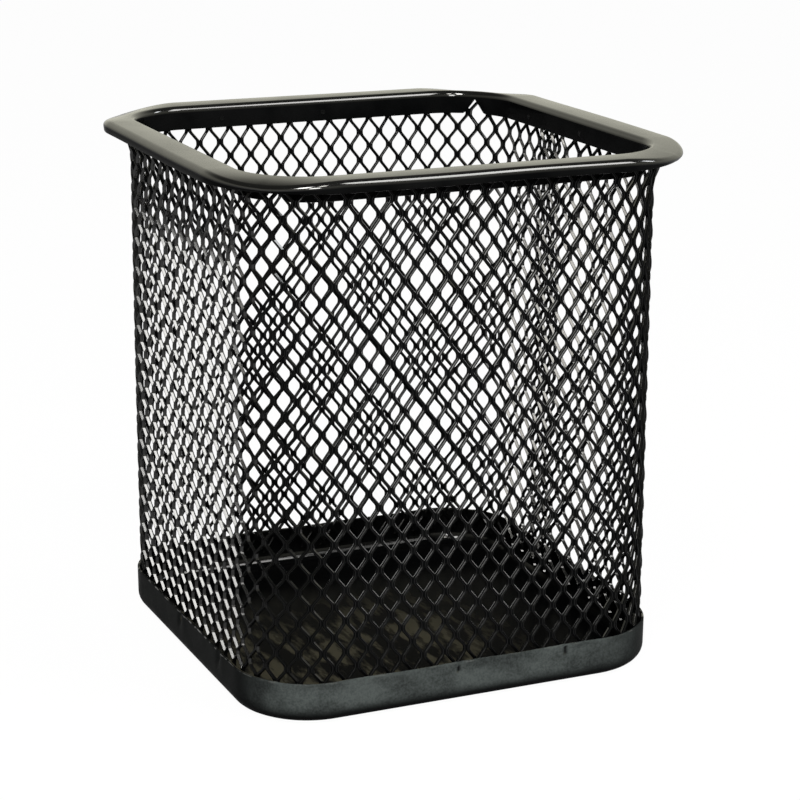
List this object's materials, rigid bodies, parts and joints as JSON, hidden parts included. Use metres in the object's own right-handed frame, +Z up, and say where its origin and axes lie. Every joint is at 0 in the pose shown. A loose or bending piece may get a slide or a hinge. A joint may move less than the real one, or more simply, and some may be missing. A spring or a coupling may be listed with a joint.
{
  "type": "mesh pen holder",
  "caption": "Square open-topped desk cup for pens: an expanded-steel mesh sleeve between a flanged rim frame and a shallow base pan, all painted black.",
  "frame": {"origin": "middle of the underside of the base pan, on the table", "axes": "+Z up through the open mouth, -Y out of the front side, +X out of the side that holds the mesh seam"},
  "size_m": [0.09, 0.09, 0.097],
  "materials": {
    "pan_paint": "satin black paint with a fine grain",
    "rim_paint": "smooth semi-gloss black paint",
    "mesh_paint": "semi-gloss black paint on expanded steel",
    "weld_paint": "black paint over spot welds"
  },
  "bodies": {
    "root": {"base_pan": "pan_paint", "rim_frame": "rim_paint", "mesh_wall_front": "mesh_paint", "mesh_wall_right": "mesh_paint", "mesh_wall_back": "mesh_paint", "mesh_wall_left": "mesh_paint", "mesh_corner_back_right": "mesh_paint", "mesh_corner_back_left": "mesh_paint", "mesh_corner_front_left": "mesh_paint", "mesh_corner_front_right": "mesh_paint", "mesh_seam_lap": "mesh_paint", "base_spot_welds": "weld_paint", "rim_spot_welds": "weld_paint", "seam_spot_welds": "weld_paint"}
  },
  "joints": []
}
